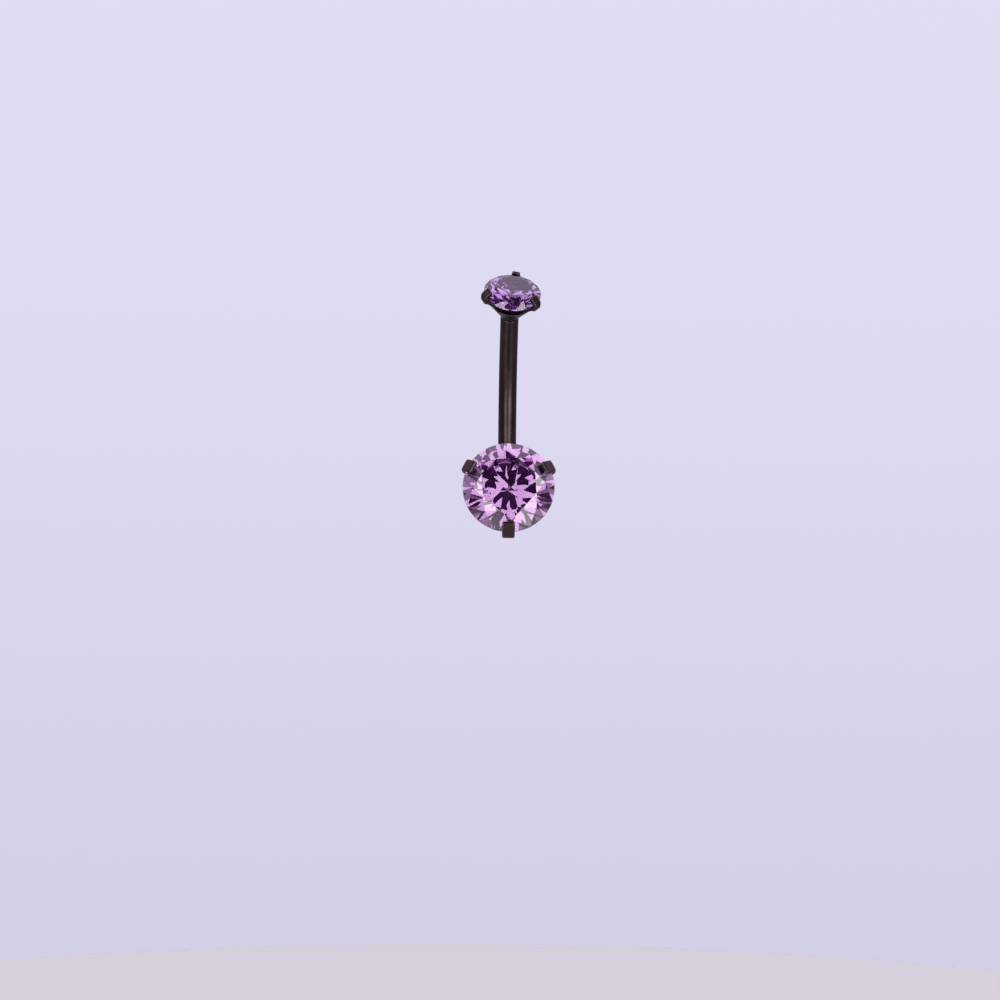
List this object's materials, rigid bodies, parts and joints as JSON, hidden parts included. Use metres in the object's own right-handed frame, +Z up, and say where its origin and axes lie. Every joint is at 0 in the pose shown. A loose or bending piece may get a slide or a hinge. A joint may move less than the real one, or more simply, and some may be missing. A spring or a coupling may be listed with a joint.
{
  "type": "navel ring",
  "caption": "Curved barbell navel ring with a large claw-set faceted stone fixed at its lower end and a small claw-set stone in a screw-on head at its top end.",
  "frame": {"origin": "the rearmost point of the bar's centre line, in the middle of the stretch that the piercing holds", "axes": "+Z up along the bar towards the small top head, -Y out of the body towards the viewer, the way the stones face, +X to the wearer's left; the bar bends in the plane X = 0"},
  "size_m": [0.0082, 0.0118, 0.0232],
  "materials": {
    "black_metal": "polished steel under a thin brown-black coating",
    "purple_stone": "clear purple cubic zirconia with flat polished facets"
  },
  "bodies": {
    "bar": {"curved_bar": "black_metal", "lower_stone": "purple_stone"},
    "top_head": {"top_setting": "black_metal", "top_stone": "purple_stone"}
  },
  "joints": [
    {"name": "top_unscrew", "type": "slide", "parent": "bar", "child": "top_head", "axis": [0, -0.6018, 0.7986], "range_m": [0, 0.003]}
  ]
}
